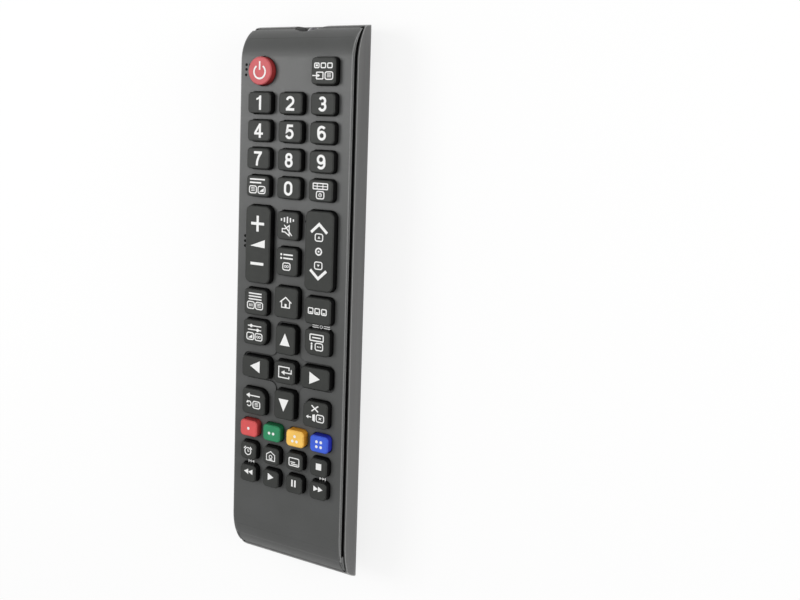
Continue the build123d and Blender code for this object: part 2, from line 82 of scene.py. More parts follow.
def mesh_of(work: bmesh.types.BMesh, name: str) -> bpy.types.Mesh:
    """Makes the final mesh of a work mesh, with all its faces looking outwards.

    Args:
        work: The work mesh, which is freed.
        name: Name of the mesh.

    Returns:
        The new mesh.
    """
    bmesh.ops.recalc_face_normals(work, faces=work.faces)
    mesh = bpy.data.meshes.new(name)
    work.to_mesh(mesh)
    work.free()
    return mesh


def dimmed(colour: Colour, share: float) -> Colour:
    """Gives a share of a colour's brightness."""
    return tuple(c * share for c in colour)


def shifted(value: float, shifts: Point) -> Point:
    """Gives a value with each of two shifts added."""
    return value + shifts[0], value + shifts[1]


class NodeSheet:
    """Node tree of one material, with short calls that add and join its nodes."""

    painted_shade_colour: Colour = (0.0015, 0.0015, 0.0015)
    rim_likeness: Point = (0.95, 0.998)
    rim_fade: float = 0.3 * MM
    edge_samples: int = 6
    mask_samples: int = 8

    def __init__(self, name: str, specular: float = 0.5) -> None:
        """Starts an empty tree that ends in one plastic-like surface.

        Args:
            name: Name of the material.
            specular: How strongly the surface mirrors, 0.5 for common plastic.
        """
        self.material = bpy.data.materials.new(name)
        self.material.use_nodes = True
        self.tree = self.material.node_tree
        self.tree.nodes.clear()
        self.output = self.add("OutputMaterial")
        self.surface = self.add("BsdfPrincipled")
        self.surface.inputs["Specular IOR Level"].default_value = specular
        self.join(self.surface.outputs["BSDF"], self.output.inputs["Surface"])

    def add(self, kind: str, **sockets: object) -> bpy.types.Node:
        """Adds a node and sets its sockets.

        Args:
            kind: Blender's name of the node's type, after its usual first word.
            sockets: Values by socket name, with underscores for spaces.

        Returns:
            The new node.
        """
        node = self.tree.nodes.new(f"ShaderNode{kind}")
        for name, value in sockets.items():
            node.inputs[name.replace("_", " ")].default_value = value
        return node

    def join(self, start: Socket, end: Socket) -> None:
        """Links an output to an input."""
        self.tree.links.new(start, end)

    def place(self, stretch: Sequence[float] = (1, 1, 1)) -> Socket:
        """Gives object coordinates, stretched along each axis.

        Args:
            stretch: Scale along X, Y and Z.

        Returns:
            The vector socket to feed to a texture.
        """
        where = self.add("TexCoord")
        mapping = self.add("Mapping", Scale=tuple(stretch))
        self.join(where.outputs["Object"], mapping.inputs["Vector"])
        return mapping.outputs["Vector"]

    def noise(self, per_metre: float, detail: float = 2.0, stretch: Sequence[float] = (1, 1, 1)) -> Socket:
        """Adds a noise texture.

        Args:
            per_metre: How fine the noise is, in cells per metre.
            detail: How many finer layers it carries.
            stretch: Scale of the coordinates along each axis.

        Returns:
            The noise's value, about 0 to 1.
        """
        noise = self.add("TexNoise", Scale=per_metre, Detail=detail)
        self.join(self.place(stretch), noise.inputs["Vector"])
        return noise.outputs["Fac"]

    def spread(
        self, value: Socket, low: float = 0, high: float = 1, start: float = 0.3, end: float = 0.7
    ) -> Socket:
        """Maps a value from one range to another.

        Args:
            value: The value to map.
            low: What the start of the range becomes.
            high: What the end of the range becomes.
            start: Start of the incoming range.
            end: End of the incoming range.

        Returns:
            The mapped value.
        """
        node = self.add("MapRange")
        for name, number in (("From Min", start), ("From Max", end), ("To Min", low), ("To Max", high)):
            node.inputs[name].default_value = number
        self.join(value, node.inputs["Value"])
        return node.outputs["Result"]

    def blend(self, share: Socket, first: Colour, second: "Colour | Socket") -> Socket:
        """Mixes two colours.

        Args:
            share: How much of the second colour shows, 0 to 1.
            first: The first colour.
            second: The second colour, or the socket that gives it.

        Returns:
            The mixed colour.
        """
        node = self.add("Mix")
        node.data_type = "RGBA"
        self.join(share, node.inputs[0])
        node.inputs[6].default_value = (*first, 1)
        if isinstance(second, tuple):
            node.inputs[7].default_value = (*second, 1)
        else:
            self.join(second, node.inputs[7])
        return node.outputs[2]

    def relief(self, height: Socket, depth: float, edge: float = 0.0) -> Socket:
        """Turns a height into surface relief, over edges that look slightly rounded.

        Args:
            height: The height, 0 to 1.
            depth: Real depth of the relief in metres.
            edge: Radius that hard edges seem to have, in metres.

        Returns:
            The normal for the surface.
        """
        bump = self.add("Bump", Strength=1.0, Distance=depth)
        self.join(height, bump.inputs["Height"])
        if edge > 0:
            soft = self.add("Bevel", Radius=edge)
            soft.samples = self.edge_samples
            self.join(soft.outputs["Normal"], bump.inputs["Normal"])
        return bump.outputs["Normal"]

    def shaded(self, colour: Socket, reach: float, dark: float, light: float) -> Socket:
        """Paints shade into a colour where other surfaces stand close, darkening it in narrow gaps.

        Args:
            colour: The colour in the open.
            reach: How near the other surfaces are, in metres.
            dark: Openness at which the colour is gone.
            light: Openness from which the colour is untouched.

        Returns:
            The shaded colour.
        """
        open_sky = self.add("AmbientOcclusion", Distance=reach)
        open_sky.samples = self.mask_samples
        share = self.spread(open_sky.outputs["AO"], 0, 1, dark, light)
        return self.blend(share, self.painted_shade_colour, colour)

    def painted_rim_highlight(self, colour: Socket, light: Colour, reach: float, from_middle: float) -> Socket:
        """Paints a highlight on the sharp long edges of the case, where they catch light.

        Args:
            colour: The colour away from the edges.
            light: The painted highlight colour on the edges.
            reach: How far the lighter colour reaches from an edge, in metres.
            from_middle: Distance from the middle of the case from which edges are lightened.

        Returns:
            The colour with its painted edge highlights.
        """
        soft = self.add("Bevel", Radius=reach)
        soft.samples = self.mask_samples
        flat = self.add("NewGeometry")
        likeness = self.add("VectorMath")
        likeness.operation = "DOT_PRODUCT"
        self.join(soft.outputs["Normal"], likeness.inputs[0])
        self.join(flat.outputs["True Normal"], likeness.inputs[1])
        away = self.spread(likeness.outputs["Value"], 0, 1, *self.rim_likeness)
        inner = self.spread(self.sideways(), 1, 0, from_middle, from_middle + self.rim_fade)
        either = self.add("Math")
        either.operation = "MAXIMUM"
        self.join(away, either.inputs[0])
        self.join(inner, either.inputs[1])
        return self.blend(either.outputs["Value"], light, colour)

    def axis(self, vector: Socket, name: str) -> Socket:
        """Takes one axis out of a vector.

        Args:
            vector: The vector.
            name: The axis, X, Y or Z.

        Returns:
            The number along that axis.
        """
        axes = self.add("SeparateXYZ")
        self.join(vector, axes.inputs["Vector"])
        return axes.outputs[name]

    def sideways(self) -> Socket:
        """Measures across the case.

        Returns:
            The distance from its middle.
        """
        distance = self.add("Math")
        distance.operation = "ABSOLUTE"
        self.join(self.axis(self.place(), "X"), distance.inputs[0])
        return distance.outputs["Value"]

    def finish(self, colour: Socket, roughness: Socket, normal: Optional[Socket] = None) -> Material:
        """Feeds the surface and gives the material.

        Args:
            colour: Base colour.
            roughness: Roughness.
            normal: Normal with relief, if any.

        Returns:
            The finished material.
        """
        self.join(colour, self.surface.inputs["Base Color"])
        self.join(roughness, self.surface.inputs["Roughness"])
        if normal is not None:
            self.join(normal, self.surface.inputs["Normal"])
        return self.material


# Finishes: lengths are in metres, and grains in cells per metre.


@dataclass(frozen=True)
class MouldedPlastic:
    """Spark-eroded plastic: fine grain, slight clouding, edges that catch light, and where set a painted
    highlight on the long edges and painted shade in gaps.
    """

    name: str
    colour: Colour
    cloud: Colour
    roughness: float = 0.42
    uneven: Point = (-0.04, 0.05)
    cloud_grain: float = 60.0
    grain: float = 2600.0
    grain_depth: float = 0.00001
    edge: float = 0.0003
    specular: float = 0.5
    # The gap fields set painted shade in narrow gaps.
    gap: float = 0.0
    gap_shade_openness: Point = (0.46, 0.82)
    # The rim fields set a painted highlight on the case's long edges.
    rim_highlight: Optional[Colour] = None
    rim_highlight_reach: float = 0.0006
    rim_highlight_start: float = 0.0205

    def build(self) -> Material:
        """Makes the material.

        Returns:
            The plastic, with a painted highlight on its long edges and painted shade in its gaps where it
            has them.
        """
        sheet = NodeSheet(self.name, self.specular)
        cloud = sheet.spread(sheet.noise(self.cloud_grain, detail=3))
        colour = sheet.blend(cloud, self.colour, self.cloud)
        if self.rim_highlight:
            # Painted highlight on the case's long edges, away from the middle.
            colour = sheet.painted_rim_highlight(colour, self.rim_highlight, self.rim_highlight_reach, self.rim_highlight_start)
        # Painted shade: darkens the colour in narrow gaps, where shade falls.
        if self.gap > 0:
            colour = sheet.shaded(colour, self.gap, *self.gap_shade_openness)
        speck = sheet.noise(self.grain, detail=3)
        roughness = sheet.spread(speck, *shifted(self.roughness, self.uneven))
        return sheet.finish(colour, roughness, sheet.relief(speck, self.grain_depth, self.edge))


@dataclass(frozen=True)
class KeyCoat:
    """Matt coat on a key's top, with its walls painted darker as shade."""

    name: str
    top: Colour
    wall_shade: Colour
    roughness: float = 0.5
    uneven: Point = (-0.05, 0.06)
    wear_grain: float = 420.0
    wear_light: float = 0.88
    grain: float = 2200.0
    grain_depth: float = 0.000012
    edge: float = 0.0004
    specular: float = 0.2
    top_facing: Point = (0.45, 0.8)

    def build(self) -> Material:
        """Makes the material.

        Returns:
            The coat, which shows on faces that look upwards.
        """
        sheet = NodeSheet(self.name, self.specular)
        facing = sheet.axis(sheet.add("TexCoord").outputs["Normal"], "Z")
        upward = sheet.spread(facing, 0, 1, *self.top_facing)
        wear = sheet.spread(sheet.noise(self.wear_grain, detail=3))
        worn = sheet.blend(wear, self.top, dimmed(self.top, self.wear_light))
        # Painted shade: faces that do not look upwards get the dark wall colour.
        colour = sheet.blend(upward, self.wall_shade, worn)
        speck = sheet.noise(self.grain)
        roughness = sheet.spread(speck, *shifted(self.roughness, self.uneven))
        return sheet.finish(colour, roughness, sheet.relief(speck, self.grain_depth, self.edge))


@dataclass(frozen=True)
class HairlinePlastic:
    """Plastic with faint lengthwise hairlines, as on the back of the case."""

    name: str
    colour: Colour
    streak: Colour
    roughness: float = 0.36
    uneven: Point = (-0.06, 0.1)
    line_grain: float = 1500.0
    line_stretch: Spot = (1, 0.012, 1)
    line_depth: float = 0.000012
    streak_grain: float = 260.0
    streak_stretch: Spot = (1, 0.05, 1)
    edge: float = 0.0003
    rim_highlight: Colour = (0.32, 0.32, 0.315)
    rim_highlight_reach: float = 0.0007
    rim_highlight_start: float = 0.0205

    def build(self) -> Material:
        """Makes the material.

        Returns:
            The plastic, with its hairlines along the case and a painted highlight on its long edges.
        """
        sheet = NodeSheet(self.name)
        lines = sheet.noise(self.line_grain, detail=4, stretch=self.line_stretch)
        streaks = sheet.noise(self.streak_grain, stretch=self.streak_stretch)
        colour = sheet.blend(sheet.spread(streaks), self.colour, self.streak)
        # Painted highlight on the case's long edges.
        colour = sheet.painted_rim_highlight(colour, self.rim_highlight, self.rim_highlight_reach, self.rim_highlight_start)
        roughness = sheet.spread(lines, *shifted(self.roughness, self.uneven))
        return sheet.finish(colour, roughness, sheet.relief(lines, self.line_depth, self.edge))


@dataclass(frozen=True)
class Ink:
    """Opaque printed ink, slightly uneven."""

    name: str
    colour: Colour
    roughness: float = 0.55
    specular: float = 0.5
    uneven: Point = (-0.05, 0.05)
    patch_grain: float = 1800.0
    patch_light: float = 0.93
    patch_depth: float = 0.000004

    def build(self) -> Material:
        """Makes the material.

        Returns:
            The ink, a little darker and deeper in patches.
        """
        sheet = NodeSheet(self.name, self.specular)
        patch = sheet.spread(sheet.noise(self.patch_grain))
        colour = sheet.blend(patch, self.colour, dimmed(self.colour, self.patch_light))
        roughness = sheet.spread(patch, *shifted(self.roughness, self.uneven), 0, 1)
        return sheet.finish(colour, roughness, sheet.relief(patch, self.patch_depth))


@dataclass(frozen=True)
class DrawnMetal:
    """Plated or drawn metal with fine scratches."""

    name: str
    colour: Colour
    roughness: float = 0.28
    uneven: Point = (-0.08, 0.12)
    scratch_grain: float = 2400.0
    scratch_stretch: Spot = (1, 1, 0.15)
    scratch_light: float = 0.85
    scratch_depth: float = 0.000006

    def build(self) -> Material:
        """Makes the material.

        Returns:
            The metal, with its scratches.
        """
        sheet = NodeSheet(self.name)
        sheet.surface.inputs["Metallic"].default_value = 1.0
        scratch = sheet.noise(self.scratch_grain, detail=3, stretch=self.scratch_stretch)
        colour = sheet.blend(sheet.spread(scratch), self.colour, dimmed(self.colour, self.scratch_light))
        roughness = sheet.spread(scratch, *shifted(self.roughness, self.uneven))
        return sheet.finish(colour, roughness, sheet.relief(scratch, self.scratch_depth))


@dataclass(frozen=True)
class LampEpoxy:
    """Clear dark epoxy of the infrared lamp, polished."""

    name: str = "lamp_epoxy"
    colour: Colour = (0.035, 0.035, 0.045)
    haze: Colour = (0.06, 0.05, 0.07)
    haze_grain: float = 500.0
    roughness: Point = (0.08, 0.14)
    coat_roughness: float = 0.03

    def build(self) -> Material:
        """Makes the material.

        Returns:
            The epoxy under its polished coat.
        """
        sheet = NodeSheet(self.name)
        sheet.surface.inputs["Coat Weight"].default_value = 1.0
        sheet.surface.inputs["Coat Roughness"].default_value = self.coat_roughness
        haze = sheet.noise(self.haze_grain)
        colour = sheet.blend(sheet.spread(haze), self.colour, self.haze)
        return sheet.finish(colour, sheet.spread(haze, *self.roughness))


@dataclass(frozen=True)
class CellSleeve:
    """Printed sleeve of a battery cell: dark, with a band of another colour at one end."""

    name: str
    band_start: float
    colour: Colour = (0.02, 0.02, 0.024)
    band: Colour = (0.62, 0.30, 0.08)
    band_edge: float = 0.0002
    scuff_grain: float = 700.0
    scuff_depth: float = 0.00001
    roughness: Point = (0.22, 0.34)

    def build(self) -> Material:
        """Makes the material.

        Returns:
            The sleeve, with its band from band_start on.
        """
        sheet = NodeSheet(self.name)
        along = sheet.axis(sheet.place(), "Y")
        edge = sheet.spread(along, 0, 1, self.band_start, self.band_start + self.band_edge)
        colour = sheet.blend(edge, self.colour, self.band)
        scuff = sheet.noise(self.scuff_grain, detail=3)
        relief = sheet.relief(scuff, self.scuff_depth)
        return sheet.finish(colour, sheet.spread(scuff, *self.roughness), relief)


@dataclass(frozen=True)
class SolderMask:
    """Green board with the slight relief of its copper tracks."""

    name: str = "solder_mask"
    colour: Colour = (0.02, 0.13, 0.05)
    track: Colour = (0.04, 0.21, 0.08)
    track_grain: float = 90.0
    track_width: float = 0.03
    track_stretch: Spot = (1, 3, 1)
    track_depth: float = 0.00002
    gloss_grain: float = 900.0
    roughness: Point = (0.24, 0.36)

    def build(self) -> Material:
        """Makes the material.

        Returns:
            The board's lacquer over its tracks.
        """
        sheet = NodeSheet(self.name)
        tracks = sheet.add("TexBrick", Scale=self.track_grain, Mortar_Size=self.track_width)
        sheet.join(sheet.place(self.track_stretch), tracks.inputs["Vector"])
        colour = sheet.blend(tracks.outputs["Fac"], self.colour, self.track)
        gloss = sheet.spread(sheet.noise(self.gloss_grain), *self.roughness)
        return sheet.finish(colour, gloss, sheet.relief(tracks.outputs["Fac"], self.track_depth))


class Pen:
    """Draws flat marks in millimetres about its origin, and makes them one thin raised print."""

    layer: float = 0.004
    mitre_share: float = 0.35
    disc_steps: int = 20
    ring_steps: int = 28
    arc_steps: int = 20
    corner_steps: int = 5

    def __init__(self, weight: float = 0.36, sink: float = 0.05, rise: float = 0.03) -> None:
        """Starts an empty print.

        Args:
            weight: Usual width of a line.
            sink: How deep the print reaches into what carries it.
            rise: How far its first stroke stands above it.
        """
        self.weight = weight
        self.sink = sink
        self.rise = rise
        self.origin = Vector((0, 0))
        self.work = bmesh.new()

    def ribbon(self, points: Sequence[Point], weight: Optional[float] = None, closed: bool = False) -> None:
        """Draws a line of even width with mitred corners.

        Args:
            points: The line's points.
            weight: Its width, or None for the pen's own.
            closed: Whether the line runs back to its first point.
        """
        half = (weight or self.weight) / 2
        line = [self.origin + Vector(p) for p in points]
        rails = []
        for index, point in enumerate(line):
            before = line[index - 1] if index or closed else None
            after = line[(index + 1) % len(line)] if closed or index + 1 < len(line) else None
            into = (point - before).normalized() if before is not None else None
            away = (after - point).normalized() if after is not None else None
            into, away = into or away, away or into
            along = (into + away).normalized()
            normal = Vector((-along.y, along.x))
            reach = half / max(self.mitre_share, normal.dot(Vector((-into.y, into.x))))
            rails.append((point + normal * reach, point - normal * reach))
        rings = [
            [self.work.verts.new((p.x, p.y, z)) for z in (self.rise, -self.sink) for p in rail]
            for rail in rails
        ]
        pairs = list(zip(rings, rings[1:])) + ([(rings[-1], rings[0])] if closed else [])
        for near, far in pairs:
            for a, b in ((0, 1), (1, 3), (3, 2), (2, 0)):
                self.work.faces.new((near[a], near[b], far[b], far[a]))
        if not closed:
            for ring in (rings[0], rings[-1]):
                self.work.faces.new((ring[0], ring[1], ring[3], ring[2]))
        self.rise += self.layer

    def fill(self, points: Sequence[Point]) -> None:
        """Draws a filled outline.

        Args:
            points: Its corners, in order.
        """
        tops, feet = (
            [self.work.verts.new((x + self.origin.x, y + self.origin.y, z)) for x, y in points]
            for z in (self.rise, -self.sink)
        )
        self.work.faces.new(tops)
        self.work.faces.new(feet[::-1])
        for index in range(len(points)):
            after = (index + 1) % len(points)
            self.work.faces.new((tops[index], feet[index], feet[after], tops[after]))
        self.rise += self.layer

    def bar(self, x: float, y: float, width: float, height: float) -> None:
        """Draws a filled upright rectangle about its centre."""
        a, b = width / 2, height / 2
        self.fill([(x - a, y - b), (x + a, y - b), (x + a, y + b), (x - a, y + b)])

    def disc(self, x: float, y: float, radius: float) -> None:
        """Draws a filled disc."""
        self.fill(arc_points(x, y, radius, 0, 360, self.disc_steps)[:-1])

    def ring(self, x: float, y: float, radius: float, weight: Optional[float] = None) -> None:
        """Draws a circle."""
        self.ribbon(arc_points(x, y, radius, 0, 360, self.ring_steps)[:-1], weight, closed=True)

    def arc(
        self, x: float, y: float, radius: float, start: float, end: float,
        weight: Optional[float] = None,
    ) -> None:
        """Draws an arc between two angles in degrees."""
        self.ribbon(arc_points(x, y, radius, start, end, self.arc_steps), weight)

    def frame(
        self, x: float, y: float, width: float, height: float, corner: float = 0.5,
        weight: Optional[float] = None,
    ) -> None:
        """Draws a rectangle's outline with round corners.

        Args:
            x: Centre across.
            y: Centre along.
            width: Outer width of the line's middle.
            height: Outer height of the line's middle.
            corner: Corner radius.
            weight: Width of the line, or None for the pen's own.
        """
        a, b = width / 2 - corner, height / 2 - corner
        points: list[Point] = []
        for side_x, side_y, start in ((1, 1, 0), (-1, 1, 90), (-1, -1, 180), (1, -1, 270)):
            centre = (x + side_x * a, y + side_y * b)
            points += arc_points(*centre, corner, start, start + 90, self.corner_steps)
        self.ribbon(points, weight, closed=True)

    def piece(self, name: str, centre: Vector, facing: int = 1) -> bpy.types.Object:
        """Makes the print one mesh in its place.

        Args:
            name: Name of the piece.
            centre: Where its centre lies, in metres.
            facing: 1 where it faces up, -1 where it faces down.

        Returns:
            The new object.
        """
        mesh = mesh_of(self.work, name)
        turn = Matrix.Rotation(0 if facing > 0 else math.pi, 4, "Y")
        mesh.transform(Matrix.Translation(centre) @ turn @ Matrix.Scale(MM, 4))
        return placed(name, mesh)


def arc_points(x: float, y: float, radius: float, start: float, end: float, steps: int) -> list[Point]:
    """Points along an arc.

    Args:
        x: Centre across.
        y: Centre along.
        radius: Radius.
        start: First angle in degrees.
        end: Last angle in degrees.
        steps: Number of steps.

    Returns:
        The points, both ends included.
    """
    angles = [math.radians(start + (end - start) * i / steps) for i in range(steps + 1)]
    return [(x + radius * math.cos(a), y + radius * math.sin(a)) for a in angles]


def figure(value: int, weight: float) -> Sequence[Stroke]:
    """Gives the strokes of one plain figure, about 4.9 mm tall.

    Args:
        value: The figure, 0 to 9.
        weight: Width of its strokes.

    Returns:
        What draws each stroke, and the numbers that it needs.
    """
    wide, tall, slim = 1.25, 2.03, weight * 0.9
    bar, ring, ribbon, arc = Pen.bar, Pen.ring, Pen.ribbon, arc_points
    stem_of_one = [
        (0.9, 2.45), (0.3, 2.45), (-0.2, 1.85), (-1.05, 1.5),
        (-1.05, 0.85), (0.05, 1.25), (0.05, -2.45), (0.9, -2.45),
    ]
    crown_of_two = arc(0, tall - wide, wide, 165, -38, 16) + [(-0.95, -1.6), (-1.1, -tall)]
    bowl_of_five = [(-0.66, tall), (-0.95, 0.15)] + arc(-0.02, -0.75, 1.28, 128, -158, 18)[1:]
    back_of_six = arc(0, 0.7, 1.3, 35, 180, 14) + [(-1.26, -0.8)]
    tail_of_nine = arc(0, -0.7, 1.3, 215, 360, 14) + [(1.26, 0.8)]
    leg_of_seven = [(1.15, tall - 0.1), (0.3, 0.55), (-0.25, -0.9), (-0.4, -2.45)]
    return (
        [(ribbon, arc(0, -0.75, wide, 180, 360, 14) + arc(0, 0.75, wide, 0, 180, 14), weight, True)],
        [(Pen.fill, stem_of_one)],
        [(ribbon, crown_of_two, weight), (bar, 0.05, -tall, 3.3, weight)],
        [
            (ribbon, arc(-0.05, 1.0, 1.05, 155, -75, 16), weight),
            (ribbon, arc(-0.05, -0.88, 1.17, 75, -160, 16), weight), (bar, 0.05, 0.03, 0.9, weight),
        ],
        [
            (ribbon, [(0.5, 2.1), (-1.35, -0.8)], slim), (bar, 0.1, -0.98, 3.6, slim),
            (bar, 0.62, 0, weight, 4.9),
        ],
        [(ribbon, bowl_of_five, weight), (bar, 0.2, tall, 2.4, weight)],
        [(ring, 0.02, -0.82, 1.2, weight), (ribbon, back_of_six, weight)],
        [(bar, 0, tall, 3.3, weight), (ribbon, leg_of_seven, weight)],
        [(ring, 0, 1.03, 0.98, weight), (ring, 0, -0.9, 1.15, weight)],
        [(ring, -0.02, 0.82, 1.2, weight), (ribbon, tail_of_nine, weight)],
    )[value]


def dress(node: bpy.types.Object, material: Material) -> None:
    """Gives one object one material all over."""
    node.data.materials.clear()
    node.data.materials.append(material)


class Inside(Enum):
    """What a small boxed icon shows, as strokes about its middle."""

    LINES = tuple((Pen.bar, 0, y, 1.5, 0.22) for y in (-0.4, 0.1, 0.55))
    HALF = ((Pen.fill, [(-0.9, -0.65), (0.9, -0.65), (0.9, 0.65)]),)
    CLOCK = ((Pen.ring, 0, 0, 0.55, 0.2), (Pen.ribbon, [(0, 0.35), (0, 0), (0.3, 0)], 0.18))
    RINGS = tuple((Pen.ring, x, 0, 0.38, 0.2) for x in (-0.45, 0.45))
    DOTS = tuple((Pen.disc, x, 0, 0.22) for x in (-0.6, 0, 0.6))
    CROSS = tuple((Pen.ribbon, [(-0.5, -y), (0.5, y)], 0.24) for y in (0.4, -0.4))
    RISE = ((Pen.fill, [(-0.5, -0.35), (0.5, -0.35), (0, 0.45)]),)
    FALL = ((Pen.fill, [(-0.5, 0.35), (0, -0.45), (0.5, 0.35)]),)
    BARS = tuple((Pen.bar, x, 0, 0.24, 1.0) for x in (-0.55, 0, 0.55))


def boxed(pen: Pen, x: float, y: float, inside: Inside) -> None:
    """Draws a small rounded box with a simple sign in it.

    Args:
        pen: The pen to draw with.
        x: Centre across.
        y: Centre along.
        inside: The sign.
    """
    pen.origin = Vector((x, y))
    pen.frame(0, 0, 2.9, 2.4, 0.65, 0.36)
    for stroke, *numbers in inside.value:
        stroke(pen, *numbers)
    pen.origin = Vector((0, 0))


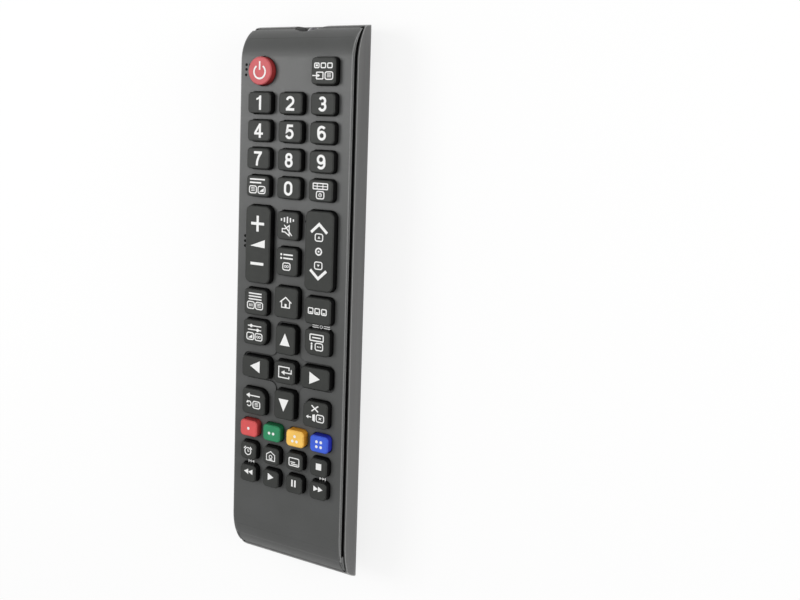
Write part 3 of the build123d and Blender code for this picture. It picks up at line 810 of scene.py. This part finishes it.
@dataclass
class KeySet:
    """The keys: their coats, and the white marks on their tops."""

    ink: Ink = Ink("key_ink", (0.86, 0.86, 0.85))
    # The second colour of each coat, here and in the coloured keys below, is painted shade on the key walls.
    coat: KeyCoat = KeyCoat("key_coat", (0.043, 0.045, 0.042), (0.003, 0.003, 0.003))
    figure_weight: float = 0.85
    pip_radius: float = 0.5
    pip_pitch: float = 1.7
    caption_row: float = 1.75
    icon_row: float = -1.55
    coloured: tuple[tuple[str, KeyCoat], ...] = (
        ("key_power", KeyCoat("red_coat", (0.62, 0.13, 0.14), (0.30, 0.03, 0.03))),
        ("key_red", KeyCoat("rose_coat", (0.70, 0.105, 0.105), (0.40, 0.04, 0.04))),
        ("key_green", KeyCoat("green_coat", (0.035, 0.26, 0.12), (0.012, 0.13, 0.05))),
        ("key_yellow", KeyCoat("yellow_coat", (0.95, 0.58, 0.13), (0.78, 0.34, 0.03))),
        ("key_blue", KeyCoat("blue_coat", (0.057, 0.13, 0.70), (0.02, 0.03, 0.40))),
    )

    def build(self) -> None:
        """Coats every key and prints its marks."""
        coat, ink, signs = self.coat.build(), self.ink.build(), self.signs()
        coloured = dict(self.coloured)
        for name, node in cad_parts.items():
            if not name.startswith("key_"):
                continue
            dress(node, coloured[name].build() if name in coloured else coat)
            pen = Pen()
            for stroke, *numbers in signs[name.removeprefix("key_")]:
                stroke(pen, *numbers)
            low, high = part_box(name)
            centre = Vector(((low.x + high.x) / 2, (low.y + high.y) / 2, high.z))
            mark = pen.piece(name.replace("key_", "mark_"), centre)
            dress(mark, ink)
            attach(mark, name)
            LOG.info("printed %s", mark.name)

    def signs(self) -> dict[str, Sequence[Stroke]]:
        """Gives the strokes of every key's marks.

        Returns:
            By the key's name, what draws each stroke and the numbers that it needs.
        """
        bar, disc, fill, ring, ribbon, box = Pen.bar, Pen.disc, Pen.fill, Pen.ring, Pen.ribbon, Pen.frame
        cap, icon, half = self.caption_row, self.icon_row, self.pip_pitch / 2
        pips = {
            "red": [(0, 0)],
            "green": [(-half, 0), (half, 0)],
            "yellow": [(-half, -half), (half, -half), (0, half)],
            "blue": [(-half, -half), (half, -half), (half, half), (-half, half)],
        }
        speaker = [(-2.0, -1.0), (-0.9, -1.0), (0.8, 0.2), (0.8, -3.2), (-0.9, -2.1), (-2.0, -2.1)]
        open_box = [(2.0, 1.1), (2.0, 2.1), (-2.2, 2.1), (-2.2, -1.6), (2.0, -1.6), (2.0, -0.9)]
        walls = [(-1.7, -1.5), (-1.7, 0.6), (0, 1.7), (1.7, 0.6), (1.7, -1.5)]
        return {
            **{f"digit_{n}": figure(n, self.figure_weight) for n in range(10)},
            **{name: [(disc, x, y, self.pip_radius) for x, y in spots] for name, spots in pips.items()},
            # Open ring with a bar in its gap.
            "power": [(Pen.arc, 0, -0.35, 2.3, 125, 415, 0.6), (bar, 0, 1.75, 0.6, 2.9)],
            # Sockets over an arrow into a box.
            "source": [
                *((box, x, cap, 1.7, 1.5, 0.3) for x in (-2.5, 0, 2.5)),
                (bar, -2.5, cap, 0.8, 0.6), (box, -1.3, icon, 2.5, 2.2, 0.2), (bar, -3.0, icon, 2.2, 0.34),
                (fill, [(-2.2, -0.95), (-2.2, -2.15), (-1.2, -1.55)]), (boxed, 2.2, icon, Inside.LINES),
            ],
            # Writing over two icons.
            "text": [
                (bar, 0, 2.35, 6.2, 0.5), (bar, -0.75, 1.2, 4.7, 0.5),
                (boxed, -1.8, -1.2, Inside.LINES), (boxed, 1.8, -1.2, Inside.HALF),
            ],
            "guide": [
                (box, 0, 1.5, 5.6, 1.9, 0.25), (bar, 0, 1.5, 5.2, 0.28),
                *((bar, x, 1.5, 0.28, 1.7) for x in (-1.2, 1.0)), (boxed, 0, -1.4, Inside.CLOCK),
            ],
            "volume": [
                (bar, 0, 7.3, 5.4, 0.95), (bar, 0, 7.3, 0.95, 5.5),
                (fill, [(-2.9, -0.5), (3.1, -0.95), (3.1, 1.85)]), (bar, 0, -6.6, 5.4, 0.95),
            ],
            # Chevrons, icons and a target.
            "channel": [
                (ribbon, [(-3.1, 6.3), (0, 9.1), (3.1, 6.3)], 0.95), (boxed, 0, 4.7, Inside.RISE),
                (ribbon, [(-3.1, -6.3), (0, -9.1), (3.1, -6.3)], 0.95), (boxed, 0, -4.7, Inside.FALL),
                (ring, 0, 0, 1.1, 0.5), (disc, 0, 0, 0.35),
            ],
            # Waves over a crossed speaker.
            "mute": [
                *((bar, (step - 2) * 1.2, cap + 0.3, 0.5, tall)
                  for step, tall in enumerate((0.8, 1.5, 2.2, 1.5, 0.8))),
                (ribbon, speaker, 0.36, True), (ribbon, [(-1.2, 0.3), (1.9, -3.2)], 0.36),
            ],
            "list": [
                (disc, -2.2, 2.5, 0.38), (bar, 0.6, 2.5, 3.8, 0.5),
                (disc, -2.2, 1.25, 0.38), (bar, 0.6, 1.25, 3.8, 0.5), (boxed, 0, -1.5, Inside.RINGS),
            ],
            "menu": [
                *((bar, 0, y, 5.4, 0.44) for y in (3.0, 2.0, 1.0)),
                (boxed, -1.75, -1.15, Inside.BARS), (boxed, 1.75, -1.15, Inside.LINES),
            ],
            "home": [
                (ribbon, [(-2.3, 0.1), (0, 1.9), (2.3, 0.1)], 0.4),
                (ribbon, [(-1.6, 0.4), (-1.6, -1.6), (1.6, -1.6), (1.6, 0.4)], 0.36),
                (bar, 0, -0.95, 0.8, 1.2),
            ],
            "content": [
                stroke for x in (-2.6, 0, 2.6)
                for stroke in ((box, x, 0, 1.8, 1.9, 0.3), (bar, x, -0.45, 1.0, 0.4))
            ],
            # Sliders over two icons.
            "tools": [
                (bar, 0, 2.3, 5.6, 0.36), (disc, -1.4, 2.3, 0.58),
                (bar, 0, 0.95, 5.6, 0.36), (disc, 1.3, 0.95, 0.58),
                (boxed, -1.75, -1.4, Inside.HALF), (boxed, 1.75, -1.4, Inside.RINGS),
            ],
            # Note over a bar with its dot.
            "info": [
                (box, 0, 1.75, 5.2, 2.1, 0.3, 0.4), (bar, 0, 1.75, 3.4, 0.42),
                (disc, -1.9, -0.4, 0.36), (bar, -1.9, -1.65, 0.56, 1.6), (boxed, 1.0, -1.2, Inside.DOTS),
            ],
            # Arrow back over a turning arrow.
            "return": [
                (bar, 0.5, 2.2, 4.6, 0.4), (fill, [(-3.0, 2.2), (-1.5, 1.3), (-1.5, 3.1)]),
                (Pen.arc, -1.7, -0.8, 0.85, -150, 130), (fill, [(-2.9, -0.6), (-1.9, -0.5), (-2.4, 0.4)]),
                (boxed, 1.4, -0.9, Inside.LINES),
            ],
            # Cross over a door with an arrow.
            "exit": [
                (ribbon, [(-1.3, 3.2), (1.3, 1.2)], 0.45), (ribbon, [(-1.3, 1.2), (1.3, 3.2)], 0.45),
                (fill, [(-0.9, -1.9), (0.1, -2.3), (0.1, 0.3), (-0.9, 0.0)]), (bar, -2.1, -0.9, 1.5, 0.34),
                (fill, [(-3.4, -0.9), (-2.5, -1.5), (-2.5, -0.3)]), (boxed, 2.1, -0.9, Inside.CROSS),
            ],
            "up": [(fill, [(-2.0, -1.8), (2.0, -1.8), (0, 2.5)])],
            "down": [(fill, [(-2.0, 2.2), (0, -2.1), (2.0, 2.2)])],
            "left": [(fill, [(-2.0, 0.4), (2.0, -1.7), (2.0, 2.5)])],
            "right": [(fill, [(-2.0, -2.0), (2.1, 0.1), (-2.0, 2.2)])],
            # Arrow that turns into an open box.
            "enter": [
                (ribbon, open_box, 0.38), (ribbon, [(2.9, 1.5), (2.9, 0.2), (-0.2, 0.2)], 0.38),
                (fill, [(-1.2, 0.2), (0.2, -0.6), (0.2, 1.0)]),
            ],
            # Clock with two bells.
            "alarm": [
                (ring, 0, -0.1, 1.25, 0.34), (ribbon, [(0, 0.65), (0, -0.1), (0.55, -0.1)], 0.28),
                *((ribbon, [(way * 1.7, 0.75), (way * 0.9, 1.5)], 0.4) for way in (-1, 1)),
            ],
            # House with a round room.
            "house": [(ribbon, walls, 0.3, True), (ring, 0, -0.2, 0.6, 0.26), (bar, 0, -1.1, 1.5, 0.26)],
            # Screen with two lines of writing.
            "subtitle": [
                (box, 0, 0, 4.0, 2.7, 0.4, 0.32), (bar, -0.5, -0.1, 1.9, 0.34), (bar, 0.2, -0.75, 2.7, 0.34),
            ],
            # Player's signs.
            "stop": [(bar, 0.2, 0.45, 2.1, 2.2)],
            "rewind": [(fill, [(x, 0.7), (x + 1.8, -0.25), (x + 1.8, 1.65)]) for x in (-1.5, 0.3)],
            "play": [(fill, [(-1.0, -0.5), (1.4, 0.75), (-1.0, 2.0)])],
            "pause": [(bar, x, 0.6, 0.6, 2.4) for x in (-0.6, 0.6)],
            "forward": [(fill, [(x, -0.15), (x + 1.8, 0.8), (x, 1.75)]) for x in (-1.6, 0.2)],
        }


@dataclass
class Case:
    """Both shells, the battery door, and the small marks on them.

    Sizes are in millimetres: groove_top to groove_exit_foot down from the key face, turn_ir and
    turn_tail along the case where the groove bends down, rows from the infrared end, and places
    to the right of the middle.
    """

    # The front plastic carries painted shade in its gaps and a painted highlight on its long edges.
    front: MouldedPlastic = MouldedPlastic(
        "front_plastic", (0.066, 0.068, 0.066), (0.076, 0.078, 0.077), gap=0.0016,
        rim_highlight=(0.22, 0.222, 0.22), rim_highlight_start=0.0213,
    )
    lip: MouldedPlastic = MouldedPlastic("lip_plastic", (0.085, 0.087, 0.085), (0.095, 0.097, 0.095))
    # Near-black painted shade that lines the grooves.
    groove: MouldedPlastic = MouldedPlastic(
        "groove_painted_shade", (0.002, 0.002, 0.002), (0.003, 0.003, 0.003), 0.7, specular=0.08
    )
    back: HairlinePlastic = HairlinePlastic("back_plastic", (0.085, 0.085, 0.084), (0.100, 0.100, 0.098))
    dot: Ink = Ink("dot_ink", (0.002, 0.002, 0.002), 0.7, 0.1)
    light_ink: Ink = Ink("face_ink", (0.80, 0.80, 0.79))
    groove_depth: float = 0.9
    groove_top: float = 1.3
    groove_foot: float = 4.0
    groove_exit: float = 8.4
    groove_exit_foot: float = 8.9
    turn_ir: float = 13.2
    turn_tail: float = 16.0
    turn_steps: int = 14
    roll_ir: float = 12.6
    roll_tail: float = 19.2
    touch: float = 0.02
    cheek_overlap: float = 0.5
    dot_radius: float = 0.5
    below: float = 10.0
    skip_row: float = 153.65
    skip_places: Point = (-14.2, 14.5)
    clock_row: float = 101.6
    clock_place: float = 12.9
    frame_row: float = 14.2
    frame_size: Point = (16.7, 5.0)
    frame_steps: tuple[int, int] = (16, 10)
    thumb_back: float = 11.0
    thumb_level: float = 1.3
    dots: tuple[Point, ...] = (
        (-19.9, 14.1), (-19.9, 15.7), (-20.0, 17.6), (-18.4, 14.2),
        (-19.1, 73.5), (-19.1, 75.3), (-19.1, 77.0), (-5.6, 36.6), (6.0, 66.5),
    )

    def build(self) -> None:
        """Dresses the shells and the door, and prints the marks."""
        front, back = self.front.build(), self.back.build()
        dress(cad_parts["front_shell"], front)
        self.front_face(front)
        dress(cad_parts["rear_shell"], back)
        dress(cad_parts["battery_door"], back)
        self.side_trim()
        self.face_marks()
        self.back_marks()
        LOG.info("dressed the case")

    def face_marks(self) -> None:
        """Prints the dots, the skip marks and the clock sign on the key face."""
        face = Vector((0, 0, self.face_level * MM))
        pen = Pen(rise=0.012)
        for x, row in self.dots:
            pen.disc(x, self.end_reach - row, self.dot_radius)
        self.keep(pen.piece("face_dots", face), self.dot, "case")
        pen = Pen(weight=0.26, rise=0.02)
        for x, way in zip(self.skip_places, (-1, 1)):
            y = self.end_reach - self.skip_row
            for step in (-0.8, 0.3):
                tip = x + way * (step + 1.0)
                pen.fill([(tip, y), (tip - way, y - 0.5), (tip - way, y + 0.5)])
            pen.bar(x + way * 1.5, y, 0.3, 1.0)
        clock_x, clock_y = self.clock_place, self.end_reach - self.clock_row
        pen.ring(clock_x, clock_y, 0.5, 0.22)
        for way in (-1, 1):
            for shift in (-0.33, 0.33):
                pen.bar(clock_x + way * 2.2, clock_y + shift, 2.4, 0.28)
        self.keep(pen.piece("face_signs", face), self.light_ink, "case")

    def back_marks(self) -> None:
        """Raises the empty frame on the belly and the figure on the thumb pad."""
        pen = Pen(weight=0.4, sink=0.2, rise=0.03)
        middle, (width, height) = self.end_reach - self.frame_row, self.frame_size
        across, along = ([step / steps - 0.5 for step in range(steps + 1)] for steps in self.frame_steps)
        for way in (-1, 1):
            pen.ribbon([(width * share, middle + way * height / 2) for share in across])
            pen.ribbon([(way * width / 2, middle + height * share) for share in along])
        empty = pen.piece("back_frame", Vector((0, 0, 0)), -1)
        self.drape(empty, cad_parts["rear_shell"])
        self.keep(empty, self.dot, "case")
        thumb = Vector((0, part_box("battery_door")[1].y - self.thumb_back * MM, self.thumb_level * MM))
        pen = Pen(weight=0.4)
        pen.ribbon([(-1.4, 1.8), (1.3, 1.8), (0.2, -0.3), (-0.2, -2.2)])
        self.keep(pen.piece("thumb_figure", thumb, -1), self.dot, "battery_door")

    def drape(self, piece: bpy.types.Object, under: bpy.types.Object) -> None:
        """Shifts a flat print up or down until it follows the underside that it lies on.

        Args:
            piece: The print, drawn at level 0.
            under: The object whose underside carries it.
        """
        tree = BVHTree.FromObject(under, bpy.context.evaluated_depsgraph_get())
        for vertex in piece.data.vertices:
            below = Vector((vertex.co.x, vertex.co.y, -self.below * MM))
            met = tree.ray_cast(below, Vector((0, 0, 1)))[0]
            if met is not None:
                vertex.co.z += met.z

    def front_face(self, finish: Material) -> None:
        """Makes the front shell's visible face, with the groove on its long sides only.

        The floor of the groove is carried out to the surface on both rolled ends.

        Args:
            finish: The material of the shell.
        """
        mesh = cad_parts["front_shell"].data.copy()
        face, end, floor_x = self.face_level, self.end_reach, self.groove_floor
        for way, radius in ((1, self.roll_ir), (-1, self.roll_tail)):
            axis_y, axis_z = way * (end - radius), face - radius
            for vertex in mesh.vertices:
                across, along, up = vertex.co / MM
                arm_y, arm_z = along - axis_y, up - axis_z
                arm = math.hypot(arm_y, arm_z)
                on_floor = abs(arm - radius + self.groove_depth) < self.touch
                if on_floor and way * arm_y > 0 and arm_z > 0 and abs(across) < floor_x + self.touch:
                    vertex.co.y = (axis_y + arm_y * radius / arm) * MM
                    vertex.co.z = (axis_z + arm_z * radius / arm) * MM
        cover = placed("front_face", mesh)
        dress(cover, finish)
        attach(cover, "case")
        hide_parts("front_shell")
        LOG.info("made %s", cover.name)

    @cached_property
    def face_level(self) -> float:
        """Level of the key face, in millimetres."""
        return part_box("front_shell")[1].z / MM

    @cached_property
    def end_reach(self) -> float:
        """Distance from the middle of the case to its ends, in millimetres."""
        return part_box("rear_shell")[1].y / MM

    @cached_property
    def groove_floor(self) -> float:
        """Distance from the middle of the case to the floor of its side grooves, in millimetres."""
        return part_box("front_shell")[1].x / MM - self.groove_depth

    def side_trim(self) -> None:
        """Lines the grooves in the case's sides with near-black painted shade, and lays the front shell's
        lip in them.

        The cheeks fill the grooves where they would cut into the rolled ends.
        """
        whole = self.groove_line()
        cut = [spot for spot in whole if self.roll_level(spot[0]) < spot[2] + self.cheek_overlap]
        tail, ir_end = ([spot for spot in cut if way * spot[0] > 0] for way in (-1, 1))
        cheek = replace(self.front, name="cheek_plastic", rim_highlight=None)
        for name, runs, low, high, inner, outer, finish in (
            # The groove band and the groove foot are near-black sheets of painted shade.
            ("groove_shade_band", [whole], 0.0, 1.0, -0.1, 0.15, self.groove),
            ("groove_foot", [whole], 0.0, 0.05, -0.1, 0.84, self.groove),
            ("front_lip", [whole], 0.04, 0.15, 0.6, 0.9, self.lip),
            ("face_cheeks", [tail, ir_end], 0.45, 1.0, -0.1, 0.89, cheek),
        ):
            strip = self.strip(name, runs, (low, high), (inner, outer))
            self.keep(strip, finish, "case")

    def strip(
        self, name: str, runs: Sequence[Sequence[Spot]], heights: Point, reaches: Point
    ) -> bpy.types.Object:
        """Makes a strip that follows stretches of the grooves on both sides.

        Args:
            name: Name of the piece.
            runs: The stretches, each as spots of the groove's line.
            heights: Where it starts and ends, as shares of the groove's height.
            reaches: Where it starts and ends outwards from the groove's floor, in millimetres.

        Returns:
            The new object.
        """
        work = bmesh.new()
        for side, run in ((side, run) for side in (-1, 1) for run in runs):
            rings = []
            for y, bottom, top in run:
                low, high = (bottom + (top - bottom) * share for share in heights)
                high = min(high, self.roll_level(y))
                if high - low < self.touch:
                    continue
                near, far = (side * (self.groove_floor + reach) for reach in reaches)
                rings.append([
                    work.verts.new((x * MM, y * MM, z * MM))
                    for x, z in ((near, low), (far, low), (far, high), (near, high))
                ])
            if len(rings) < 2:
                continue
            for before, after in zip(rings, rings[1:]):
                for a in range(4):
                    b = (a + 1) % 4
                    work.faces.new((before[a], before[b], after[b], after[a]))
            work.faces.new(rings[0][::-1])
            work.faces.new(rings[-1])
        return placed(name, mesh_of(work, name))

    def roll_level(self, y: float) -> float:
        """Level of the key face or of its rolled end at a place along the case.

        Args:
            y: The place, in millimetres.

        Returns:
            The level, in millimetres.
        """
        radius = self.roll_ir if y > 0 else self.roll_tail
        past = max(0.0, abs(y) - (self.end_reach - radius))
        return self.face_level - radius + math.sqrt(max(0.0, radius * radius - past * past))

    def groove_line(self) -> list[Spot]:
        """Gives the groove from the tail to the infrared end.

        Returns:
            Place along the case, level of the groove's foot and level of its top, in millimetres.
        """
        line: list[Spot] = []
        for way, turn in ((-1, self.turn_tail), (1, self.turn_ir)):
            half = []
            for step in range(self.turn_steps + 1):
                along = turn * step / self.turn_steps
                levels = []
                for depth, exit_depth in (
                    (self.groove_foot, self.groove_exit_foot), (self.groove_top, self.groove_exit)
                ):
                    drop = exit_depth - depth
                    radius = (turn * turn + drop * drop) / (2 * drop)
                    start = self.face_level - depth
                    levels.append(start - radius + math.sqrt(radius * radius - along * along))
                half.append((way * (self.end_reach - turn + along), *levels))
            line += half if way > 0 else half[::-1]
        return line

    def keep(self, piece: bpy.types.Object, finish: "Ink | MouldedPlastic", body: str) -> None:
        """Dresses a piece and makes it ride on a body.

        Args:
            piece: The piece.
            finish: Its finish.
            body: The body that carries it.
        """
        dress(piece, finish.build())
        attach(piece, body)
        LOG.info("made %s", piece.name)


@dataclass
class Insides:
    """What lies in the case: lamp, cells, contacts, board and the parts on it."""

    metal: DrawnMetal = DrawnMetal("contact_metal", (0.78, 0.77, 0.73))
    can: DrawnMetal = DrawnMetal("can_metal", (0.80, 0.80, 0.80), 0.35)
    silicone: MouldedPlastic = MouldedPlastic("silicone", (0.30, 0.31, 0.31), (0.34, 0.35, 0.35), 0.6)
    chip: MouldedPlastic = MouldedPlastic("chip_epoxy", (0.02, 0.02, 0.02), (0.03, 0.03, 0.03), 0.55)
    ceramic: MouldedPlastic = MouldedPlastic("ceramic", (0.60, 0.30, 0.06), (0.66, 0.36, 0.08), 0.35)
    board: SolderMask = SolderMask()
    lamp: LampEpoxy = LampEpoxy()
    band_length: float = 12.0 * MM

    def build(self) -> None:
        """Dresses every solid in the case."""
        metal = self.metal.build()
        for name in ("contact_plus", "contact_minus", "contact_link", "spring_minus", "spring_link"):
            dress(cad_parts[name], metal)
        for name, finish in (
            ("capacitor", self.can), ("keypad_mat", self.silicone), ("controller_chip", self.chip),
            ("resonator", self.ceramic), ("circuit_board", self.board), ("ir_lamp", self.lamp),
        ):
            dress(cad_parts[name], finish.build())
        for name in ("battery_cell_1", "battery_cell_2"):
            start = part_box(name)[1].y - self.band_length
            dress(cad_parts[name], CellSleeve(f"{name}_sleeve", start).build())
        LOG.info("dressed what lies inside")


@dataclass
class Studio:
    """Pale floor, soft lights and the camera at the photograph's angle.

    The eye, the aim, the lens and its sensor are in millimetres, and the rest is in metres.
    """

    eye: Spot = (158.4, 64.4, 259.9)
    aim: Spot = (29.5, 43.2, 0.0)
    upward: Spot = (-0.0609, 0.9968, -0.0511)
    lens: float = 37.76
    sensor: float = 36.0
    nearest: float = 0.01
    shift_up: float = -0.146
    floor_size: float = 6.0
    floor_colour: Colour = (0.95, 0.95, 0.945)
    floor_shade: Colour = (0.93, 0.93, 0.93)
    floor_cloud: float = 4.0
    floor_grain: float = 40.0
    floor_roughness: Point = (0.8, 0.95)
    floor_glow: float = 0.8
    daylight: float = 0.55
    lights: tuple[tuple[str, Spot, float, float], ...] = (
        ("left_softbox", (-0.34, 0.12, 0.50), 0.28, 1.4),
        ("right_softbox", (0.56, 0.12, 0.30), 0.30, 1.4),
        ("overhead", (0.15, 0.1, 0.9), 0.9, 0.5),
    )

    def build(self) -> None:
        """Sets floor, world, lights and camera."""
        self.set_floor()
        self.set_world()
        for light in self.lights:
            self.add_light(*light)
        self.set_camera()
        bpy.context.scene.view_settings.view_transform = "Standard"
        LOG.info("set the studio")

    def set_floor(self) -> None:
        """Lays the pale floor, which looks white to the camera and still takes the shadow."""
        mesh = bpy.data.meshes.new("floor")
        half = self.floor_size / 2
        mesh.from_pydata(
            [(-half, -half, 0), (half, -half, 0), (half, half, 0), (-half, half, 0)], [], [(0, 1, 2, 3)]
        )
        floor = placed("floor", mesh)
        sheet = NodeSheet("floor_paper", 0.0)
        tint = sheet.blend(sheet.noise(self.floor_cloud), self.floor_colour, self.floor_shade)
        sheet.finish(tint, sheet.spread(sheet.noise(self.floor_grain), *self.floor_roughness))
        glow = sheet.add("Emission", Strength=1.0)
        rays = sheet.add("LightPath")
        share = sheet.add("Math")
        share.operation = "MULTIPLY"
        share.inputs[1].default_value = self.floor_glow
        sheet.join(rays.outputs["Is Camera Ray"], share.inputs[0])
        mix = sheet.add("MixShader")
        sheet.join(share.outputs["Value"], mix.inputs["Fac"])
        sheet.join(sheet.surface.outputs["BSDF"], mix.inputs[1])
        sheet.join(glow.outputs["Emission"], mix.inputs[2])
        sheet.join(mix.outputs["Shader"], sheet.output.inputs["Surface"])
        dress(floor, sheet.material)

    def set_world(self) -> None:
        """Fills the room with soft light, and shows it white to the camera."""
        world = bpy.data.worlds.new("room")
        world.use_nodes = True
        nodes, links = world.node_tree.nodes, world.node_tree.links
        nodes.clear()
        output, sky, rays, choose = (
            nodes.new(f"ShaderNode{kind}") for kind in ("OutputWorld", "Background", "LightPath", "MapRange")
        )
        choose.inputs["To Min"].default_value = self.daylight
        choose.inputs["To Max"].default_value = 1.0
        links.new(rays.outputs["Is Camera Ray"], choose.inputs["Value"])
        links.new(choose.outputs["Result"], sky.inputs["Strength"])
        links.new(sky.outputs["Background"], output.inputs["Surface"])
        sky.inputs["Color"].default_value = (1, 1, 1, 1)
        bpy.context.scene.world = world

    def add_light(self, name: str, place: Spot, size: float, power: float) -> None:
        """Hangs one soft square light that faces the object.

        Args:
            name: Name of the light.
            place: Where it hangs, in metres.
            size: Side of the square in metres.
            power: Power in watts.
        """
        lamp = bpy.data.lights.new(name, "AREA")
        lamp.shape = "SQUARE"
        lamp.size = size
        lamp.energy = power
        holder = placed(name, lamp)
        holder.location = place
        holder.rotation_mode = "QUATERNION"
        holder.rotation_quaternion = (-Vector(place)).to_track_quat("-Z", "Y")

    def set_camera(self) -> None:
        """Puts the camera where the photograph was taken from."""
        camera = bpy.data.cameras.new("camera")
        camera.lens = self.lens
        camera.sensor_width = self.sensor
        camera.shift_y = self.shift_up
        camera.clip_start = self.nearest
        holder = placed("camera", camera)
        eye = Vector(self.eye) * MM
        back = (eye - Vector(self.aim) * MM).normalized()
        right = Vector(self.upward).cross(back).normalized()
        up = back.cross(right)
        turn = Matrix((right, up, back)).transposed().to_4x4()
        holder.matrix_world = Matrix.Translation(eye) @ turn
        bpy.context.scene.camera = holder


def main() -> None:
    """Builds the sub-assemblies in order."""
    logging.basicConfig(level=logging.INFO, format="%(name)s: %(message)s")
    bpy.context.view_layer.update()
    Studio().build()
    Case().build()
    Insides().build()
    KeySet().build()


if __name__ == "__main__":
    main()
